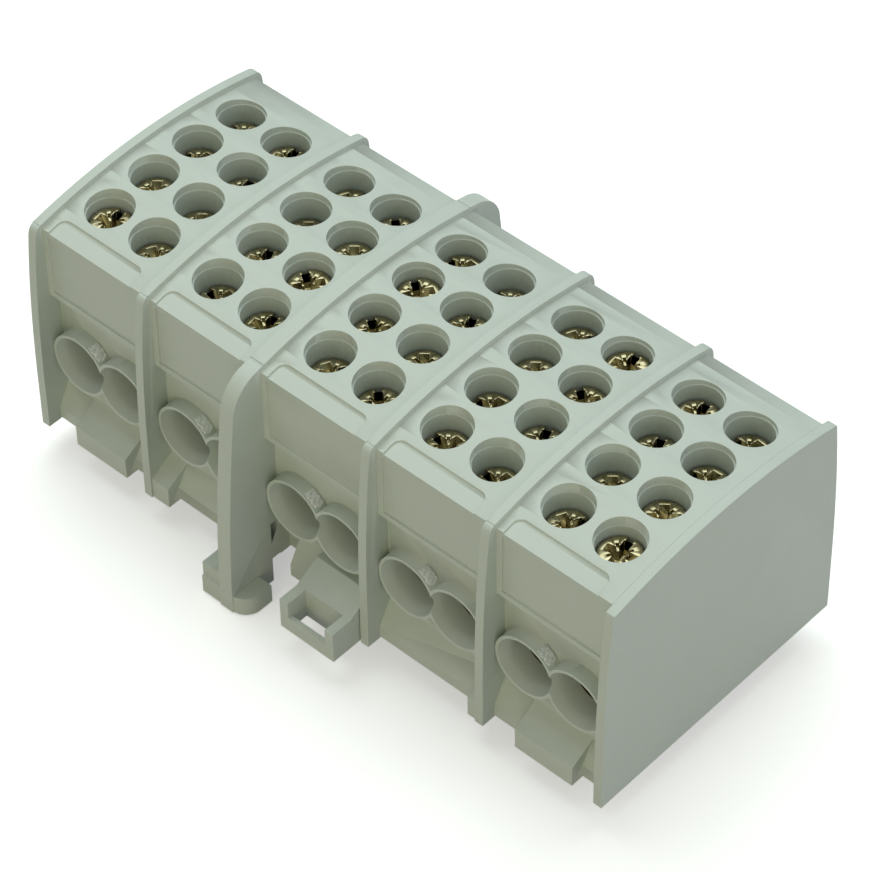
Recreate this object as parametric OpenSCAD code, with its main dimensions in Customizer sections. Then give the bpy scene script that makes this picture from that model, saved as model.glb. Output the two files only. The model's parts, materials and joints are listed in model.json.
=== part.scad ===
// Main-line branch terminal block: five poles in a row, each with a metal clamp body
// that joins two conductors from the front and two from the back, and a snap-on rail foot.
//
// X runs along the row of poles, Y from the front entries to the back ones, Z up.
// The origin is the middle of the block in X and Y, at the level of the foot's sole.

/* [Row] */
// Pitch of the poles along the row
pole_pitch = 23; // [23:0.5:26]
// Thickness of the wall at the left of each housing
flange_t = 1.6; // [1.2:0.1:2]
// Thickness of the plate that closes the right end
end_plate_t = 1.6; // [1.2:0.1:2.4]
// How far the walls stand above the housings' tops
bead_h = 0.9; // [0.5:0.1:1.4]

/* [Housing] */
// Depth of the walls at their top corners, front to back
wall_depth = 49; // [48:0.5:54]
// How much deeper the walls are at the bottom, on each side
wall_flare = 1.7; // [0.5:0.1:2.5]
// Height of the walls' top corners above their bottom edges
wall_side_h = 41.4; // [40:0.2:46]
// Rise of the arched top from its corners to its crown
crown_h = 2.9; // [2:0.1:4]
// How far the housings' faces lie behind the walls' edges
face_setback = 1.4; // [1:0.1:2]
// Height of the flat brow's lower edge above the walls' bottom edges
brow_z = 27; // [25:0.5:29]
// How far the entry wall lies behind the brow
entry_setback = 1.9; // [1.5:0.1:2.4]
// Depth of the marking fields in the brow and the top
field_depth = 0.3; // [0.2:0.05:0.5]

/* [Wire entries] */
// Height of the wire entries' axes above the walls' bottom edges
entry_z = 15.5; // [15:0.25:17]
// Distance between the two entries of a pole, and between its screw columns
column_gap = 9.6; // [9.2:0.1:9.8]
// Outer radius of the collar round an entry
collar_r = 5.6; // [5.3:0.1:6]
// Thickness of the collar's rim
rim_t = 0.55; // [0.4:0.05:0.8]
// Radius of the bore behind the funnel
entry_r = 4.24; // [4.1:0.02:4.4]

/* [Clamp bodies] */
// Length of a clamp body, front to back
clamp_len = 37; // [36:0.5:39]
// Height of a clamp body
clamp_h = 17.8; // [16:0.2:18]
// Radius of the wire bores through a clamp body
wire_r = 4; // [3.6:0.05:4.05]
// Thickness of a clamp body below its wire bores
clamp_floor = 1.8; // [1.4:0.1:2]
// Gap round a clamp body in its pocket
clamp_gap = 0.1; // [0.05:0.05:0.2]

/* [Clamping screws] */
// Distance between the screw rows
row_pitch = 9.5; // [9:0.1:9.8]
// Thread diameter of a clamping screw
screw_d = 6; // [5:0.1:6]
// Head diameter of a clamping screw
head_d = 6.8; // [6.4:0.1:6.9]
// Height of the head
head_h = 3.4; // [2.6:0.1:3.6]
// Gap round a thread in its hole
thread_gap = 0.05; // [0.02:0.01:0.1]
// Gap round a head in its shaft
head_gap = 0.3; // [0.3:0.05:0.4]
// Widening of a shaft's mouth
mouth_step = 0.25; // [0.2:0.05:0.4]
// Depth of a shaft's wide mouth
mouth_depth = 1.3; // [0.8:0.1:2]
// Length of a clamping screw, head and shank
screw_len = 17.6; // [15:0.1:17.6]
// Depth of the highest heads below the top
head_depth = 2.9; // [2.5:0.1:3]

/* [Rail foot] */
// Height of the foot's sole below the walls' bottom edges
foot_drop = 4.7; // [4:0.1:6]
// Thickness of the rail wall between the second and third pole
rail_wall_t = 2.7; // [2.4:0.1:3.2]
// How far the rail wall stands out beyond the other walls' bottom edges
rail_wall_out = 5.8; // [5:0.1:6.6]
// Radius of the rail wall's top corners
rail_wall_r = 7; // [5:0.5:8]
// Width of the mounting rail
rail_w = 35; // [34.6:0.1:35.2]
// Thickness of the rail's lip
rail_lip = 1; // [0.8:0.1:1.2]
// Gap round the rail
rail_gap = 0.15; // [0.1:0.05:0.3]
// How far the hooks reach under the rail's lip
hook_reach = 2.2; // [1.6:0.1:2.4]
// Depth of the foot's front leg
leg_depth = 9; // [8:0.1:9.4]
// Width of the slot behind the front leg
leg_slot = 1.8; // [1.2:0.1:2.2]
// Width of the sole under the front leg
sole_w = 9.5; // [8:0.1:10]

/* [Rail latch] */
// Width of the latch's handle
latch_w = 11; // [10:0.1:11.2]
// Height of the handle's posts
latch_h = 6.2; // [5.6:0.1:6.6]
// How far the handle stands out beyond the walls' bottom edges
latch_out = 5.7; // [5:0.1:6.2]
// Width of the screwdriver window
window_w = 7.6; // [6:0.1:8]
// Depth of the screwdriver window
window_d = 3.1; // [2.6:0.1:3.4]
// Thickness of the wall in front of the window
window_wall = 0.9; // [0.7:0.1:1.2]
// Gap round the latch in its guide
latch_gap = 0.15; // [0.1:0.05:0.2]
// Travel of the latch
latch_travel = 3.2; // [2.8:0.1:3.6]

/* [Hidden] */
$fn = 96;
COLUMNS = ["a", "b"];
ROWS = 4;
POLES = 5;
SCREWS = [for (p = [1:POLES], c = [0:1], r = [1:ROWS]) [p, c, r]];
function screw_name(s) = str("screw_", s[0], COLUMNS[s[1]], s[2]);

eps = 0.01;
row_w = POLES * pole_pitch + end_plate_t;
row_x = -row_w / 2;
base_z = foot_drop;
half_top = wall_depth / 2;
half_base = half_top + wall_flare;
face_y = half_top - face_setback;
entry_wall_y = face_y - entry_setback;
crown_z = base_z + wall_side_h + crown_h;
wall_r = (half_top * half_top + crown_h * crown_h) / (2 * crown_h);
arch_z = crown_z - wall_r;
top_r = wall_r - bead_h;
body_bottom = 0.3;
strip_y = face_y + 0.5;
strip_h = 2.3;
slope_top = 7;
tab_y = half_base - 0.3;
tab_h = 4;
tab_depth = 0.5;
collar_y = strip_y;
field_margin = 1;
top_field_l = flange_t + 1.3;
top_field_w = pole_pitch - flange_t - 4;
top_field_d = 3.4;
core_wall = 1.6;
core_l = 30;
funnel_d = 2.1;
mouth_r = collar_r - rim_t;
axis_z = base_z + entry_z;
col_x = (flange_t + pole_pitch) / 2 - 0.2;
pole_2_right = pole_pitch - (rail_wall_t - flange_t);
clamp_w = 2 * (pole_2_right - clamp_gap - col_x);
clamp_z = axis_z - wire_r - clamp_floor;
clamp_top = clamp_z + clamp_h;
shaft_r = head_d / 2 + head_gap;
recess_l = head_d - 1.6;
recess_w = 1;
recess_h = 1.5;

// Height of the housings' arched top at a distance y from the middle.
function top_z(y) = arch_z + sqrt(top_r * top_r - y * y);
// Place of a screw column, left or right, from the left of its pole.
function column_x(c) = col_x + (c - 0.5) * column_gap;
// Place of a screw row, 1 at the front.
function row_y(r) = (r - (ROWS + 1) / 2) * row_pitch;
// Left of a pole's housing, and right of it.
function pole_left(p) = row_x + (p - 1) * pole_pitch;
function body_right(p) = p == 2 ? pole_2_right : pole_pitch;

// Each screw is turned in by its own amount.
TURNED_IN = [0, 1.2, 1.6, 1.7, 1.4, 2.2, 1.9, 1];
function turned_in(s) = TURNED_IN[(s[1] * ROWS + s[2] - 1 + 3 * (s[0] - 1)) % len(TURNED_IN)];

HOUSING = [0.76, 0.83, 0.79];

// A shape in the Y-Z plane, carried along X from x to x + t.
module along_x(x, t) translate([x, 0, 0]) rotate([90, 0, 90]) linear_extrude(t) children();

// A round bar of radius r whose axis runs along Y.
module along_y(r, y0, y1) translate([0, y0, 0]) rotate([-90, 0, 0]) cylinder(r = r, h = y1 - y0);

// The arched space below a top of radius r.
module below_arch(r, x, t)
    translate([x - eps, 0, arch_z]) rotate([0, 90, 0]) cylinder(r = r, h = t + 2 * eps, $fn = 180);

// Half outline of a wall, from its bottom edge up, as [distance from the middle, height].
// The edge leans inward ever faster: distance = top + flare (1 - u^3), u = height / side height.
corner_r = 1.5;
function wall_half() = concat(
    [for (i = [0:10]) let (u = i / 10 * (1 - corner_r / wall_side_h))
        [half_top + wall_flare * (1 - pow(u, 3)), u * wall_side_h]],
    [for (a = [15:15:75])
        [half_top - corner_r * (1 - cos(a)) + 0.1, wall_side_h - corner_r + corner_r * sin(a) * 1.15]],
    [[half_top - corner_r, wall_side_h + crown_h]]);
// Half outline of a housing between the walls.
function body_half() = [
    [entry_wall_y, body_bottom],
    [strip_y, body_bottom],
    [strip_y, body_bottom + strip_h],
    [entry_wall_y, slope_top],
    [entry_wall_y, brow_z],
    [face_y, brow_z],
    [face_y, wall_side_h + crown_h]];
// Front and back made alike from one half outline.
function both_sides(half) = concat(
    [for (q = half) [-q[0], q[1] + base_z]],
    [for (i = [len(half) - 1:-1:0]) [half[i][0], half[i][1] + base_z]]);

module wall_plate(x, t, r) intersection() {
    along_x(x, t) polygon(both_sides(wall_half()));
    below_arch(r, x, t);
}

// The two collars of a side, with their funnels still closed, cut off at the housing's right.
module collars(side, right) mirror([0, side < 0 ? 1 : 0, 0]) intersection() {
    for (c = [0, 1]) translate([column_x(c), 0, axis_z]) along_y(collar_r, entry_wall_y - eps, collar_y);
    translate([flange_t - eps, 0, 0]) cube([right - flange_t + eps, half_base, crown_z]);
}

// What is cut away for a wire: the funnel and the bore behind it.
module entry_cut(c, side) mirror([0, side < 0 ? 1 : 0, 0]) translate([column_x(c), 0, axis_z]) {
    along_y(entry_r, clamp_len / 2 - 1, collar_y + 1);
    translate([0, collar_y - funnel_d, 0]) rotate([-90, 0, 0])
        cylinder(r1 = entry_r, r2 = mouth_r + 0.02, h = funnel_d + eps);
}

// Shaft over a screw, with its wider mouth.
module shaft_cut(c, r) translate([column_x(c), row_y(r), 0]) {
    translate([0, 0, clamp_top]) cylinder(r = shaft_r, h = crown_z - clamp_top);
    translate([0, 0, top_z(row_y(r)) - mouth_depth]) cylinder(r = shaft_r + mouth_step, h = mouth_depth + 3);
}

// Shallow marking field in the brow, on the front and the back.
brow_field_h = wall_side_h - brow_z - 2.8;
module brow_field(right) for (side = [0, 1]) mirror([0, side, 0])
    translate([flange_t + field_margin, face_y - field_depth, base_z + brow_z + field_margin])
        cube([right - flange_t - 2 * field_margin, field_depth + 1, brow_field_h]);

// Shallow marking field on the top, open at the front edge, with round back corners.
module top_field() difference() {
    translate([top_field_l, -face_y - 1, base_z + wall_side_h / 2]) linear_extrude(wall_side_h) union() {
        square([top_field_w, 1 + top_field_d - corner_r]);
        translate([corner_r, 0]) square([top_field_w - 2 * corner_r, 1 + top_field_d]);
        for (x = [corner_r, top_field_w - corner_r])
            translate([x, 1 + top_field_d - corner_r]) circle(corner_r);
    }
    below_arch(top_r - field_depth, 0, pole_pitch);
}

// Foot tabs that reach down to the walls' bottom level, from x0 to x1 along the pole.
function tab_half() = [
    [entry_wall_y - tab_depth, 0],
    [tab_y, 0],
    [tab_y, tab_h],
    [entry_wall_y - tab_depth, slope_top]];
module tab(x0, x1)
    for (side = [-1, 1]) mirror([0, side > 0 ? 1 : 0, 0])
        along_x(x0, x1 - x0) polygon([for (q = tab_half()) [-q[0], q[1] + base_z]]);

// Tab ranges of each pole, from the pole's left.
function tab_range(p) =
    p == 1 || p == 5 ? [7.6, 18.7]
    : p == 2 ? [flange_t - eps, flange_t + 3.5]
    : p == 4 ? [pole_pitch - 1.7, pole_pitch] : [0, 0];

module housing_blank(p) {
    right = body_right(p);
    intersection() {
        along_x(flange_t - eps, right - flange_t + eps) polygon(both_sides(body_half()));
        below_arch(top_r, 0, right);
    }
    for (side = [-1, 1]) collars(side, right);
    if (p == 3) rail_wall(); else wall_plate(0, flange_t, wall_r);
    if (p != 3) tab(tab_range(p)[0], tab_range(p)[1]);
}

// Room for the clamp body, open to the right, where the next wall closes it.
module clamp_pocket()
    translate([col_x - clamp_w / 2 - clamp_gap, -clamp_len / 2 - clamp_gap, clamp_z])
        cube([pole_pitch, clamp_len + 2 * clamp_gap, clamp_h + clamp_gap]);

// Cored-out underside. In the third housing it leaves room for the latch's guide.
module underside(p) {
    front = p == 3 ? bar_back + 2 * core_wall : -core_l / 2;
    translate([flange_t + core_wall, front, 0])
        cube([body_right(p) - flange_t - 2 * core_wall, core_l / 2 - front, clamp_z - core_wall]);
}

module housing(p) color(HOUSING) translate([pole_left(p), 0, 0]) difference() {
    housing_blank(p);
    clamp_pocket();
    underside(p);
    for (c = [0, 1], side = [-1, 1]) entry_cut(c, side);
    for (c = [0, 1], r = [1:ROWS]) shaft_cut(c, r);
    brow_field(body_right(p));
    top_field();
    if (p == 3) {
        latch_guide();
        leg_gap();
    }
}

// The rail wall: deeper than the others, with large top corners. Its front leg stands on
// a sole; its back carries the fixed hook for the rail.
rail_wall_x = flange_t - rail_wall_t;
rail_half = half_base + rail_wall_out;
rail_lean = 2.6;
rail_top_half = rail_half - rail_lean;
hook_root_y = half_base - 1;
slot_h = 9;
rail_corner_y = rail_top_half - rail_wall_r;
rail_corner_z = arch_z + sqrt(wall_r * wall_r - rail_corner_y * rail_corner_y) - rail_wall_r - base_z - 0.1;
rail_edge = rail_w / 2 + rail_gap;
hook_tip = rail_w / 2 - hook_reach;
hook_z = base_z - rail_lip - rail_gap;
leg_back = rail_half - leg_depth;
function rail_wall_half() = concat(
    [[rail_half, -foot_drop]],
    [for (i = [0:10]) let (u = i / 10) [rail_half - rail_lean * pow(u, 1.6), u * rail_corner_z]],
    [for (a = [9:9:90]) [rail_corner_y + rail_wall_r * cos(a), rail_corner_z + rail_wall_r * sin(a)]],
    [[rail_corner_y, wall_side_h + crown_h + 1]]);

module rail_wall() {
    difference() {
        intersection() {
            along_x(rail_wall_x, rail_wall_t) polygon(both_sides(rail_wall_half()));
            below_arch(wall_r, rail_wall_x, rail_wall_t);
        }
        translate([rail_wall_x - 1, 0, -1]) {
            translate([0, -leg_back, 0]) cube([rail_wall_t + 2, leg_back + rail_edge, base_z + 1]);
            translate([0, -leg_back, 0]) cube([rail_wall_t + 2, leg_slot, base_z + slot_h]);
            translate([0, hook_root_y, 0]) cube([rail_wall_t + 2, rail_half, base_z + 1]);
        }
    }
    front_sole();
    back_hook();
}

// Sole under the front leg, with a small block above it at the left of the wall.
block_w = 4;
block_h = 1.7;
sole_x = rail_wall_x - block_w;
sole_r = 3;
sole_y = -rail_half + 0.2;
module front_sole() {
    linear_extrude(hook_z) difference() {
        translate([sole_x, sole_y]) square([sole_w, -leg_back - sole_y]);
        translate([sole_x + sole_w - sole_r, sole_y]) difference() {
            translate([0, -1]) square([sole_r + 1, sole_r + 1]);
            translate([0, sole_r]) circle(sole_r);
        }
    }
    translate([sole_x, sole_y + body_bottom, 0])
        cube([block_w + eps, -strip_y - 0.4 - sole_y - body_bottom, base_z + block_h]);
}

// Fixed hook: it reaches under the rail's back lip.
hook_w = rail_wall_t + 7;
module back_hook() translate([rail_wall_x, 0, 0]) {
    translate([0, rail_edge, 0]) cube([hook_w, hook_root_y - rail_edge, base_z + body_bottom + eps]);
    translate([0, hook_tip, 0]) cube([hook_w, rail_edge - hook_tip + eps, hook_z]);
}

// The latch: a handle in front, a T-shaped bar in a guide and a nose under the front lip.
latch_x = pole_pitch - latch_w - 0.2;
latch_mid = latch_x + latch_w / 2;
handle_y = -half_base - latch_out;
handle_back = -entry_wall_y - latch_gap;
handle_top = 8.8;
post_depth = 4;
sole_clear = 0.1;
bar_w = 9;
neck_w = 6;
bar_z = base_z + 2;
bar_h = 2;
bar_back = -10.5;
rib_y = -17;
rib_l = 1.5;
rib_h = 1;
nose_l = 3.2;
nose_h = 1.5;
leg_room = 4.4;
module bar_shape(gap, back, front) {
    translate([latch_mid - bar_w / 2 - gap, front, bar_z - gap])
        cube([bar_w + 2 * gap, back + gap - front, bar_h + 2 * gap]);
    neck_z = base_z + sole_clear - 2 * gap;
    translate([latch_mid - neck_w / 2 - gap, front, neck_z])
        cube([neck_w + 2 * gap, back + gap - front, bar_z + eps - neck_z]);
}
module latch_guide() {
    translate([latch_x - latch_gap, -half_base - 2, 0])
        cube([pole_pitch, half_base + 2 - entry_wall_y, base_z + slope_top + eps]);
    bar_shape(latch_gap, bar_back, -entry_wall_y - 1);
    translate([latch_mid - neck_w / 2 - latch_gap, rib_y - latch_travel - latch_gap, bar_z])
        cube([neck_w + 2 * latch_gap, rib_l + latch_travel + 2 * latch_gap, bar_h + rib_h + latch_gap]);
}
// Room between the front leg and the housing.
module leg_gap() translate([flange_t, -half_base, 0])
    cube([leg_room, half_base - leg_back + leg_slot + 2, base_z + slot_h + body_bottom]);

module rail_latch() color(HOUSING) translate([pole_left(3), 0, 0]) {
    difference() {
        along_x(latch_x, latch_w) polygon([
            [handle_y, base_z + sole_clear], [handle_back, base_z + sole_clear],
            [handle_back, base_z + handle_top], [-strip_y, base_z + handle_top],
            [handle_y + post_depth, base_z + latch_h], [handle_y, base_z + latch_h]]);
        translate([latch_mid - window_w / 2, handle_y + window_wall, 0]) cube([window_w, window_d, crown_z]);
        translate([latch_mid - window_w / 2, handle_y - 1, base_z + latch_h / 2])
            cube([window_w, window_wall + 2, crown_z]);
    }
    bar_shape(0, bar_back, handle_back - eps);
    translate([latch_mid - neck_w / 2, 0, 0]) {
        translate([0, rib_y, bar_z + bar_h - eps]) cube([neck_w, rib_l, rib_h]);
        translate([0, -rail_edge - nose_l, hook_z - nose_h])
            cube([neck_w, nose_l, bar_z + eps - hook_z + nose_h]);
        translate([0, -rail_edge - eps, hook_z - nose_h]) cube([neck_w, rail_edge - hook_tip + eps, nose_h]);
    }
}

module clamp_body(p) color([0.72, 0.68, 0.55]) translate([pole_left(p) + col_x, 0, 0]) difference() {
    translate([-clamp_w / 2, -clamp_len / 2, clamp_z]) cube([clamp_w, clamp_len, clamp_h]);
    for (c = [0, 1]) translate([column_x(c) - col_x, 0, axis_z])
        along_y(wire_r, -clamp_len / 2 - 1, clamp_len / 2 + 1);
    for (c = [0, 1], r = [1:ROWS]) translate([column_x(c) - col_x, row_y(r), axis_z])
        cylinder(d = screw_d + 2 * thread_gap, h = clamp_h);
}

module clamping_screw(s) {
    y = row_y(s[2]);
    head_z = top_z(y) - head_depth - turned_in(s);
    tip_z = head_z - screw_len;
    color([0.6, 0.56, 0.42]) translate([pole_left(s[0]) + column_x(s[1]), y, 0]) difference() {
        union() {
            translate([0, 0, tip_z]) cylinder(d = screw_d, h = head_z - tip_z - eps);
            translate([0, 0, head_z - head_h]) cylinder(d = head_d, h = head_h);
        }
        translate([0, 0, head_z]) for (a = [0, 90])
            rotate(a) cube([recess_l, recess_w, 2 * recess_h], center = true);
    }
}

module end_plate() color(HOUSING)
    translate([row_x, 0, 0]) wall_plate(POLES * pole_pitch, end_plate_t, top_r);

for (p = [1:POLES]) {
    housing(p);
    clamp_body(p);
}
for (s = SCREWS) clamping_screw(s);
end_plate();
rail_latch();
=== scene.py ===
# %% [markdown]
# # The looks of a five-pole branch terminal block
# The CAD model gives every piece its place. This script finishes the moulded pieces with
# rounded edges, makes the clamping screws in full, and sets the materials, light and camera.

import json
import math

import bmesh
import bpy
import numpy as np
from mathutils import Matrix, Vector


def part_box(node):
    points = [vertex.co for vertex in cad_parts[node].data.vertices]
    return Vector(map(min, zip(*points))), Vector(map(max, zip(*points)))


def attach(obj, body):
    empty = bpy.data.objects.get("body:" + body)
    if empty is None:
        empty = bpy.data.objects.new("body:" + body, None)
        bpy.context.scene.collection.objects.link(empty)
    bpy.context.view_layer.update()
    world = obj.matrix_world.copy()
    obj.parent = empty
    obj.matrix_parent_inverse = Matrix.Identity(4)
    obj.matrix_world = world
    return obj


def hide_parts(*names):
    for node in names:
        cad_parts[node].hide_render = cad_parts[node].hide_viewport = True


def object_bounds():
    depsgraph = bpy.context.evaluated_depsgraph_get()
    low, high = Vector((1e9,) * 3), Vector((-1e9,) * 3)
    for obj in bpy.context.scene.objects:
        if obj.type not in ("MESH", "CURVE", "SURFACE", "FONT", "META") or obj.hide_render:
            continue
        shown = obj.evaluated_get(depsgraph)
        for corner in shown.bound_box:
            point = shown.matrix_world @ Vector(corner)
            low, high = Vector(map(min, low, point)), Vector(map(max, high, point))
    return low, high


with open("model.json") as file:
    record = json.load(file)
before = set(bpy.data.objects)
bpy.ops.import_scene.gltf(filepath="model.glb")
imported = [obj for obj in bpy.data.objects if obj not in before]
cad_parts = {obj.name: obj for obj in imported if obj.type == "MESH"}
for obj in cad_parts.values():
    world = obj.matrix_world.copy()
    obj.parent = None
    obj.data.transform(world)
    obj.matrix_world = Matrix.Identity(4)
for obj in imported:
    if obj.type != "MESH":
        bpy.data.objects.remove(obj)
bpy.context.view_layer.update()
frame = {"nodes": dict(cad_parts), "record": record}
MM = 0.001
NODES = frame["nodes"]
SCREWS = sorted(name for name in NODES if name.startswith("screw_"))
CLAMPS = sorted(name for name in NODES if name.startswith("clamp_body_"))
HOUSINGS = sorted(name for name in NODES if name.startswith("housing_"))
BODY_OF = {node: body for body, nodes in frame["record"]["behaviour"]["bodies"].items() for node in nodes}
print(f"frame: {len(NODES)} nodes, {len(SCREWS)} screws")


# %% [markdown]
# ## Materials
# The housings are grey-green polyamide with a dull, slightly grained skin, and the screws
# are plated steel. A plain colour would look like paper, and an image would need a layout.
# So each material is one Principled shader with noise in object coordinates: the pattern
# stays on the piece in every view, and its scale is a real one.

# %% Node helpers
def new_material(name):
    """A material with a Principled shader. Gives the material, its node tree and the shader."""
    material = bpy.data.materials.new(name)
    material.use_nodes = True
    tree = material.node_tree
    return material, tree, tree.nodes["Principled BSDF"]


def object_noise(tree, scale, detail=4.0, roughness=0.55):
    """Noise in object coordinates; scale is in waves per metre."""
    coordinates = tree.nodes.new("ShaderNodeTexCoord")
    noise = tree.nodes.new("ShaderNodeTexNoise")
    noise.inputs["Scale"].default_value = scale
    noise.inputs["Detail"].default_value = detail
    noise.inputs["Roughness"].default_value = roughness
    tree.links.new(coordinates.outputs["Object"], noise.inputs["Vector"])
    return noise


def ramp(tree, source, low, high, start=0.3, end=0.7):
    """A colour ramp from low to high, as the source goes from start to end."""
    node = tree.nodes.new("ShaderNodeValToRGB")
    node.color_ramp.elements[0].position = start
    node.color_ramp.elements[0].color = (*low, 1)
    node.color_ramp.elements[1].position = end
    node.color_ramp.elements[1].color = (*high, 1)
    tree.links.new(source, node.inputs["Fac"])
    return node


def spread(tree, source, low, high):
    """Maps the source's middle range onto low to high."""
    node = tree.nodes.new("ShaderNodeMapRange")
    node.inputs["From Min"].default_value = 0.3
    node.inputs["From Max"].default_value = 0.7
    node.inputs["To Min"].default_value = low
    node.inputs["To Max"].default_value = high
    tree.links.new(source, node.inputs["Value"])
    return node


def bump(tree, shader, source, strength, distance):
    """Bump of the given strength and depth, in metres, on the shader's normal."""
    node = tree.nodes.new("ShaderNodeBump")
    node.inputs["Strength"].default_value = strength
    node.inputs["Distance"].default_value = distance
    tree.links.new(source, node.inputs["Height"])
    tree.links.new(node.outputs["Normal"], shader.inputs["Normal"])


# %% Moulded plastic and plated metals
def moulded_plastic():
    """Grey-green polyamide: faint flow mottling, a fine eroded grain and a dull gloss."""
    material, tree, shader = new_material("moulded_plastic")
    mottle = object_noise(tree, 160, detail=3)
    colour = ramp(tree, mottle.outputs["Fac"], (0.60, 0.655, 0.60), (0.635, 0.69, 0.64))
    tree.links.new(colour.outputs["Color"], shader.inputs["Base Color"])
    grain = object_noise(tree, 2600, detail=2)
    sheen = spread(tree, mottle.outputs["Fac"], 0.42, 0.55)
    tree.links.new(sheen.outputs["Result"], shader.inputs["Roughness"])
    bump(tree, shader, grain.outputs["Fac"], 0.25, 0.00006)
    shader.inputs["Subsurface Weight"].default_value = 0.08
    shader.inputs["Subsurface Radius"].default_value = (0.0016, 0.0014, 0.0011)
    shader.inputs["Specular IOR Level"].default_value = 0.4
    return material


def plated_metal(name, low, high, rough):
    """Plated metal: low and high are the colours between which it varies."""
    material, tree, shader = new_material(name)
    patches = object_noise(tree, 420, detail=5)
    colour = ramp(tree, patches.outputs["Fac"], low, high)
    tree.links.new(colour.outputs["Color"], shader.inputs["Base Color"])
    shader.inputs["Metallic"].default_value = 1.0
    haze = spread(tree, patches.outputs["Fac"], rough[0], rough[1])
    tree.links.new(haze.outputs["Result"], shader.inputs["Roughness"])
    scratches = object_noise(tree, 3400, detail=3)
    bump(tree, shader, scratches.outputs["Fac"], 0.2, 0.00003)
    return material


PLASTIC = moulded_plastic()
SCREW_METAL = plated_metal("zinc_plated_steel", (0.33, 0.28, 0.16), (0.56, 0.50, 0.33), (0.18, 0.36))
# The clamp brass is darkened well below its own colour: painted shade for the inside of the bore.
SHADED_CLAMP_METAL = plated_metal("brass_with_painted_bore_shade", (0.24, 0.20, 0.12), (0.36, 0.31, 0.20), (0.3, 0.45))


def give(obj, material):
    """The only material of obj."""
    obj.data.materials.clear()
    obj.data.materials.append(material)


# %% [markdown]
# ## Moulded pieces
# A mould leaves no knife edges. The housings, the end plate and the latch keep their CAD
# shape: a copy of each is welded into large faces, and a Bevel modifier rounds its convex
# edges. Edge weights make the walls' beads rounder than the rest. Wider rounding folds some
# short faces over each other, so the width stays small.

# %% Rounded copies of the CAD meshes
BEAD_R = 0.1 * MM
LATCH_R = 0.16 * MM
EDGE_SHARE = 0.5
SHARP = math.radians(32)
PROUD_Y = 23.75 * MM
CROWN_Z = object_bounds()[1].z
CROWN_RISE = 2.9
HALF_DEPTH = 24.5
ARCH_R = (HALF_DEPTH**2 + CROWN_RISE**2) / (2 * CROWN_RISE) * MM
BEAD_FOOT = 0.5 * MM


def bead_z(y):
    """Height just above a housing's arched top at a distance y from the middle."""
    return CROWN_Z - ARCH_R + math.sqrt(ARCH_R**2 - min(abs(y), 0.9 * ARCH_R) ** 2) - BEAD_FOOT


def merged_copy(node, name):
    """A copy of a CAD node's mesh, welded, with the triangles of flat faces joined."""
    mesh = NODES[node].data.copy()
    obj = bpy.data.objects.new(name, mesh)
    bpy.context.scene.collection.objects.link(obj)
    shape = bmesh.new()
    shape.from_mesh(mesh)
    bmesh.ops.remove_doubles(shape, verts=shape.verts, dist=1e-6)
    bmesh.ops.dissolve_limit(
        shape,
        angle_limit=math.radians(0.4),
        verts=shape.verts,
        edges=shape.edges,
        use_dissolve_boundaries=False,
    )
    shape.to_mesh(mesh)
    shape.free()
    return obj


def apply_modifiers(obj):
    """Replaces the mesh of obj by the one that its modifiers make."""
    graph = bpy.context.evaluated_depsgraph_get()
    made = bpy.data.meshes.new_from_object(obj.evaluated_get(graph))
    obj.modifiers.clear()
    old = obj.data
    obj.data = made
    bpy.data.meshes.remove(old)


def round_edges(obj, width, segments=2, clamp=True):
    """Rounds every edge sharper than SHARP by width, times the edge's weight where it has one."""
    bevel = obj.modifiers.new("edges", "BEVEL")
    bevel.width = width
    bevel.segments = segments
    weighted = "bevel_weight_edge" in obj.data.attributes
    bevel.limit_method = "WEIGHT" if weighted else "ANGLE"
    bevel.angle_limit = SHARP
    bevel.use_clamp_overlap = clamp
    bevel.harden_normals = True
    bpy.context.view_layer.update()
    apply_modifiers(obj)


def weigh_edges(obj):
    """Weight 1 on the convex edges of the walls' beads, which stand proud, and EDGE_SHARE on the others."""
    shape = bmesh.new()
    shape.from_mesh(obj.data)
    weight = shape.edges.layers.float.new("bevel_weight_edge")
    for edge in shape.edges:
        if len(edge.link_faces) == 2 and edge.is_convex and edge.calc_face_angle(0) > SHARP:
            proud = all(abs(v.co.y) > PROUD_Y or v.co.z > bead_z(v.co.y) for v in edge.verts)
            edge[weight] = 1.0 if proud else EDGE_SHARE
    shape.to_mesh(obj.data)
    shape.free()


def moulded_piece(node):
    """The finished piece that stands for a moulded CAD node."""
    obj = merged_copy(node, f"moulded_{node}")
    for polygon in obj.data.polygons:
        polygon.use_smooth = True
    obj.data.set_sharp_from_angle(angle=SHARP)
    weigh_edges(obj)
    round_edges(obj, LATCH_R if node == "rail_latch" else BEAD_R, segments=3, clamp=False)
    give(obj, PLASTIC)
    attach(obj, BODY_OF[node])
    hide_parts(node)
    return obj


MOULDED = [moulded_piece(node) for node in HOUSINGS + ["end_plate", "rail_latch"]]
print(f"moulded pieces: {len(MOULDED)}, {sum(len(o.data.polygons) for o in MOULDED)} faces")

# %% [markdown]
# ## Raised pads with a painted highlight
# On top of each left collar sits a small raised pad, paler than the plastic: its paler colour is a painted
# highlight. It is a curved patch on the collar, raised by a ripple, and closed below.

# %% Raised pads with a painted highlight
PAD_FROM, PAD_TO = math.radians(22), math.radians(56)
COLLAR_R = 5.6 * MM
PAD_Y = (-23.4 * MM, -21.3 * MM)
COLLAR_AT = (7.3 * MM, 20.2 * MM)
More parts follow.
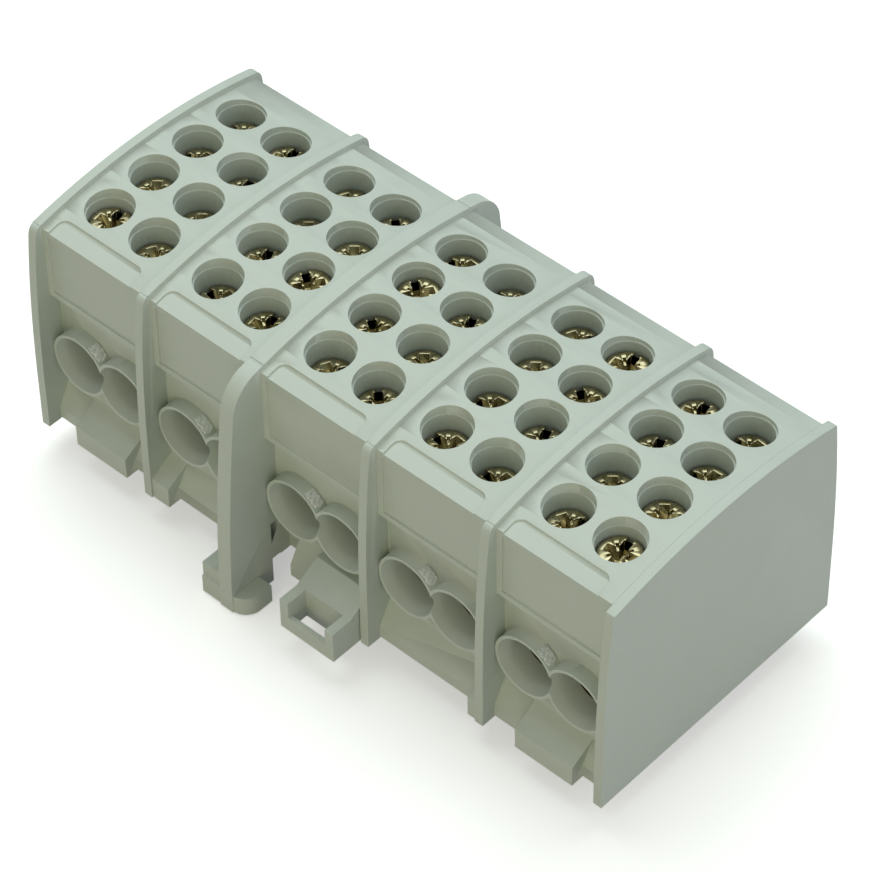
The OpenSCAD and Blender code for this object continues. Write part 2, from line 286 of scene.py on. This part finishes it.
# The pad's paler colour is a painted highlight and not a colour of the plastic.
highlight_pad_plastic, highlight_pad_tree, highlight_pad_shader = new_material("painted_highlight_plastic")
highlight_pad_patches = object_noise(highlight_pad_tree, 2200, detail=4)
painted_highlight_colour = ramp(highlight_pad_tree, highlight_pad_patches.outputs["Fac"], (0.70, 0.74, 0.74), (0.90, 0.92, 0.94), 0.4, 0.6)
highlight_pad_tree.links.new(painted_highlight_colour.outputs["Color"], highlight_pad_shader.inputs["Base Color"])
highlight_pad_shader.inputs["Roughness"].default_value = 0.6
bump(highlight_pad_tree, highlight_pad_shader, highlight_pad_patches.outputs["Fac"], 0.5, 0.0001)


def painted_highlight_pad(housing):
    """A patch on the left collar: radius = collar radius + 0.2 mm, falling to its rim, plus a fine ripple."""
    left = POLE_LEFT[housing]
    u, v = np.meshgrid(np.linspace(0, 1, 25), np.linspace(0, 1, 21), indexing="ij")
    edge = np.clip(12 * np.minimum(np.minimum(u, 1 - u), np.minimum(v, 1 - v)), 0, 1)
    ripple = 0.5 + 0.25 * (np.sin(23 * u + 9 * v) + np.sin(31 * v - 14 * u + 2))
    waist = 1 - 0.25 * np.abs(2 * v - 1) * np.sin(5 * u) ** 2
    angle = (PAD_FROM + PAD_TO) / 2 + (u - 0.5) * (PAD_TO - PAD_FROM) * waist
    y = PAD_Y[0] + v * (PAD_Y[1] - PAD_Y[0]) + 0.08 * MM * np.sin(17 * u)
    points = []
    outer = COLLAR_R - 0.15 * MM + edge * (0.22 * MM + 0.14 * MM * ripple)
    for radius in (outer, COLLAR_R - 0.3 * MM + 0 * u):
        x = left + COLLAR_AT[0] + radius * np.sin(angle)
        points.append(np.stack([x, y, COLLAR_AT[1] + radius * np.cos(angle)], -1))
    return closed_patch(f"painted_highlight_pad_{housing[-1]}", *points)


def closed_patch(name, outer, inner):
    """A closed piece from two grids of the same shape, joined round their border."""
    rows, columns = outer.shape[:2]
    index = np.arange(rows * columns).reshape(rows, columns)
    quads = np.stack([index[:-1, :-1], index[1:, :-1], index[1:, 1:], index[:-1, 1:]], -1).reshape(-1, 4)
    border = np.concatenate([index[:, 0], index[-1, 1:], index[-2::-1, -1], index[0, -2:0:-1]])
    after = np.roll(border, -1)
    count = rows * columns
    sides = np.stack([border, after, after + count, border + count], -1)
    mesh = bpy.data.meshes.new(name)
    faces = np.concatenate([quads[:, ::-1], quads + count, sides])
    points = np.concatenate([outer.reshape(-1, 3), inner.reshape(-1, 3)])
    mesh.from_pydata(points.tolist(), [], faces.tolist())
    shape = bmesh.new()
    shape.from_mesh(mesh)
    bmesh.ops.recalc_face_normals(shape, faces=shape.faces)
    shape.to_mesh(mesh)
    shape.free()
    obj = bpy.data.objects.new(name, mesh)
    bpy.context.scene.collection.objects.link(obj)
    for polygon in mesh.polygons:
        polygon.use_smooth = True
    give(obj, highlight_pad_plastic)
    return obj


WALL_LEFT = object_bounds()[0].x
POLE_PITCH = 23 * MM
POLE_LEFT = {housing: WALL_LEFT + i * POLE_PITCH for i, housing in enumerate(HOUSINGS)}
# One raised pad with a painted highlight on each housing.
for housing in HOUSINGS:
    mark = painted_highlight_pad(housing)
    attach(mark, BODY_OF[housing])
print(f"gate marks: {len(HOUSINGS)}")

# %% [markdown]
# ## Clamp bodies
# The metal block in each pole shows only as a dark bore behind the funnels. Its CAD shape is right, so its
# node stays and gets a brass of its own, darkened as painted shade for the inside of the bore.

# %% Clamp bodies keep their CAD mesh
for node in CLAMPS:
    give(NODES[node], SHADED_CLAMP_METAL)


# %% [markdown]
# ## Clamping screws
# A cheese head with a slot and a cross recess sits on a threaded shank. The head is a solid
# of revolution from which tapered wings are cut, and the thread is a radius worked out over
# a grid of height and angle. One screw is made in full and then set at every screw's place,
# turned as far as its height tells.

# %% One screw, with its head's top at the origin
HEAD_R = 3.4 * MM
HEAD_H = 3.4 * MM
SHANK_R = 3.0 * MM
THREAD_PITCH = 1.0 * MM
THREAD_DEPTH = 0.55 * MM
SCREW_LENGTH = 17.6 * MM
RIM_R = 0.35 * MM


def turned(profile, segments=64):
    """A solid of revolution about Z. profile is a list of (radius, height), from the top's middle down."""
    shape = bmesh.new()
    angles = [2 * math.pi * i / segments for i in range(segments)]
    rings = []
    for radius, height in profile:
        if radius == 0:
            rings.append([shape.verts.new((0, 0, height))])
        else:
            round_points = [(radius * math.cos(a), radius * math.sin(a), height) for a in angles]
            rings.append([shape.verts.new(point) for point in round_points])
    for upper, lower in zip(rings, rings[1:]):
        for i in range(segments):
            j = (i + 1) % segments
            corners = [upper[i % len(upper)], lower[i % len(lower)]]
            corners += [lower[j % len(lower)], upper[j % len(upper)]]
            shape.faces.new(list(dict.fromkeys(corners)))
    return shape


def tapered_box(length, width, depth, draft):
    """A wing of the recess: its floor is narrower and shorter than its mouth by draft on each side."""
    shape = bmesh.new()
    corners = []
    for height, inset in ((0.2 * MM, 0), (-depth, draft)):
        x = length / 2 - inset
        y = width / 2 - inset / 2
        signs = ((1, 1), (-1, 1), (-1, -1), (1, -1))
        corners.append([shape.verts.new((sx * x, sy * y, height)) for sx, sy in signs])
    top, bottom = corners
    shape.faces.new(top)
    shape.faces.new(bottom[::-1])
    for i in range(4):
        j = (i + 1) % 4
        shape.faces.new([top[i], bottom[i], bottom[j], top[j]])
    return shape


def as_object(shape, name, turn=0.0):
    """A new object from a bmesh, turned about Z."""
    bmesh.ops.recalc_face_normals(shape, faces=shape.faces)
    bmesh.ops.transform(shape, matrix=Matrix.Rotation(turn, 4, "Z"), verts=shape.verts)
    mesh = bpy.data.meshes.new(name)
    shape.to_mesh(mesh)
    shape.free()
    obj = bpy.data.objects.new(name, mesh)
    bpy.context.scene.collection.objects.link(obj)
    return obj


def threaded_shank():
    """Shank below the head: the radius falls by a sawtooth of z / pitch - angle / 2 pi, and at the tip."""
    around = 40
    along = 12 * 13
    height = SCREW_LENGTH - HEAD_H
    angle = np.linspace(0, 2 * math.pi, around, endpoint=False)[None, :]
    z = np.linspace(0, 1, along + 1)[:, None] * height
    phase = (z / THREAD_PITCH - angle / (2 * math.pi)) % 1
    groove = 1 - np.abs(2 * phase - 1)
    runout = np.clip((z - 1.2 * MM) / (1.0 * MM), 0, 1)
    tip = np.clip((height - z) / (0.9 * MM), 0, 1)
    radius = SHANK_R - THREAD_DEPTH * groove * runout - 0.7 * MM * (1 - tip)
    points = np.stack([radius * np.cos(angle), radius * np.sin(angle), -HEAD_H - z + 0 * angle], axis=-1)
    points = np.concatenate([points.reshape(-1, 3), [[0, 0, -SCREW_LENGTH]]])
    i, j = np.meshgrid(np.arange(along), np.arange(around), indexing="ij")
    a = i * around + j
    b = i * around + (j + 1) % around
    quads = np.stack([a, a + around, b + around, b], axis=-1).reshape(-1, 4)
    last = along * around
    ring = np.arange(around)
    cap = np.stack([last + ring, np.full(around, len(points) - 1), last + (ring + 1) % around], axis=-1)
    mesh = bpy.data.meshes.new("shank")
    mesh.from_pydata(points.tolist(), [], quads.tolist() + cap.tolist())
    return mesh


def screw_head():
    """The head: a rounded rim, cut by the slot, the cross and the four small nicks between its wings."""
    turns = np.linspace(0, math.pi / 2, 5)
    rim = [(HEAD_R - RIM_R + RIM_R * math.sin(t), -RIM_R + RIM_R * math.cos(t)) for t in turns]
    crown = [(0, 0.12 * MM), (1.6 * MM, 0.09 * MM)]
    under = [(HEAD_R, -HEAD_H + 0.2 * MM), (HEAD_R - 0.2 * MM, -HEAD_H), (0, -HEAD_H)]
    profile = crown + rim + under
    head = as_object(turned(profile), "head")
    cuts = [
        as_object(tapered_box(2.4 * HEAD_R, 1.15 * MM, 1.5 * MM, 0.04 * MM), "slot"),
        as_object(tapered_box(4.9 * MM, 1.5 * MM, 2.5 * MM, 0.55 * MM), "wing_a"),
        as_object(tapered_box(4.9 * MM, 1.5 * MM, 2.5 * MM, 0.55 * MM), "wing_b", math.pi / 2),
        as_object(tapered_box(3.9 * MM, 0.5 * MM, 0.7 * MM, 0.1 * MM), "nick_a", math.pi / 4),
        as_object(tapered_box(3.9 * MM, 0.5 * MM, 0.7 * MM, 0.1 * MM), "nick_b", -math.pi / 4),
    ]
    for cut in cuts:
        boolean = head.modifiers.new(cut.name, "BOOLEAN")
        boolean.operation = "DIFFERENCE"
        boolean.solver = "EXACT"
        boolean.object = cut
        bpy.context.view_layer.update()
        apply_modifiers(head)
    for cut in cuts:
        bpy.data.objects.remove(cut)
    for polygon in head.data.polygons:
        polygon.use_smooth = True
    head.data.set_sharp_from_angle(angle=math.radians(25))
    round_edges(head, 0.07 * MM)
    return head


def screw_mesh():
    """Head and shank in one mesh."""
    head = screw_head()
    shape = bmesh.new()
    shape.from_mesh(head.data)
    shank = threaded_shank()
    shape.from_mesh(shank)
    mesh = bpy.data.meshes.new("screw")
    shape.to_mesh(mesh)
    shape.free()
    bpy.data.objects.remove(head)
    for polygon in mesh.polygons:
        polygon.use_smooth = True
    mesh.set_sharp_from_angle(angle=math.radians(40))
    return mesh


SCREW = screw_mesh()
print(f"screw: {len(SCREW.polygons)} faces")


# %% A screw at every place
def set_screw(node):
    """A screw on its CAD node's axis, turned by the angle that goes with its height."""
    low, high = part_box(node)
    place = Vector(((low.x + high.x) / 2, (low.y + high.y) / 2, high.z))
    turn = -2 * math.pi * place.z / THREAD_PITCH
    mesh = SCREW.copy()
    mesh.transform(Matrix.Translation(place) @ Matrix.Rotation(turn, 4, "Z"))
    obj = bpy.data.objects.new(f"clamping_{node}", mesh)
    bpy.context.scene.collection.objects.link(obj)
    give(obj, SCREW_METAL)
    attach(obj, BODY_OF[node])
    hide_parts(node)
    return obj


for node in SCREWS:
    set_screw(node)
print(f"screws set: {len(SCREWS)}")

# %% [markdown]
# ## Floor, light and camera
# The floor is white to the camera and in reflections, and darker for the light that it
# throws back, so that it keeps the shadow and doesn't flatten the fronts. A broad cool lamp
# from above, a weaker warm one in front and a neutral one at the side shape the block.

# %% Floor
bpy.ops.mesh.primitive_plane_add(size=3, location=(0, 0, -0.0002))
floor = bpy.context.object
floor.name = "floor"
floor_material, floor_tree, floor_shader = new_material("pale_floor")
floor_shader.inputs["Roughness"].default_value = 0.9
rays = floor_tree.nodes.new("ShaderNodeLightPath")
seen = floor_tree.nodes.new("ShaderNodeMath")
seen.operation = "MAXIMUM"
floor_tree.links.new(rays.outputs["Is Camera Ray"], seen.inputs[0])
floor_tree.links.new(rays.outputs["Is Glossy Ray"], seen.inputs[1])
paint = ramp(floor_tree, seen.outputs["Value"], (0.36, 0.36, 0.36), (1.0, 1.0, 1.0), 0, 1)
floor_tree.links.new(paint.outputs["Color"], floor_shader.inputs["Base Color"])
glow = ramp(floor_tree, seen.outputs["Value"], (0, 0, 0), (1.0, 1.0, 1.0), 0, 1)
floor_tree.links.new(glow.outputs["Color"], floor_shader.inputs["Emission Color"])
floor_shader.inputs["Emission Strength"].default_value = 0.42
give(floor, floor_material)


# %% Lights
def area_light(name, place, size, power, colour, aim=(0, 0, 0.02)):
    """A square area light at place, aimed at a point, all in metres and watts."""
    light = bpy.data.lights.new(name, "AREA")
    light.size = size
    light.energy = power
    light.color = colour
    obj = bpy.data.objects.new(name, light)
    bpy.context.scene.collection.objects.link(obj)
    obj.location = place
    obj.rotation_euler = (Vector(aim) - Vector(place)).to_track_quat("-Z", "Y").to_euler()
    return obj


area_light("overhead", (-0.25, 0.25, 0.9), 0.9, 6.2, (0.87, 0.98, 0.94))
area_light("front_fill", (0.3, -1.0, 0.3), 0.8, 2.6, (1.0, 0.92, 0.54))
area_light("side_fill", (1.0, 0.1, 0.45), 0.8, 1.8, (0.92, 1.0, 1.0))

world = bpy.data.worlds.new("studio")
bpy.context.scene.world = world
world.use_nodes = True
world.node_tree.nodes["Background"].inputs["Color"].default_value = (1.0, 1.0, 0.97, 1)
world.node_tree.nodes["Background"].inputs["Strength"].default_value = 0.24

# %% Camera
CAMERA_AT = (0.2845, -0.3018, 0.4548)
AZIMUTH = math.radians(43.547)
ELEVATION = math.radians(46.231)
ROLL = math.radians(1.331)

camera = bpy.data.cameras.new("camera")
camera.lens = 163.07
camera.sensor_width = 36
camera.shift_x = 0.0270
camera.shift_y = -0.0016
camera.clip_start = 0.05
camera_obj = bpy.data.objects.new("camera", camera)
bpy.context.scene.collection.objects.link(camera_obj)
level = Matrix.Rotation(AZIMUTH, 4, "Z") @ Matrix.Rotation(math.pi / 2 - ELEVATION, 4, "X")
camera_obj.matrix_world = Matrix.Translation(CAMERA_AT) @ level @ Matrix.Rotation(-ROLL, 4, "Z")
bpy.context.scene.camera = camera_obj
bpy.context.scene.view_settings.view_transform = "Standard"
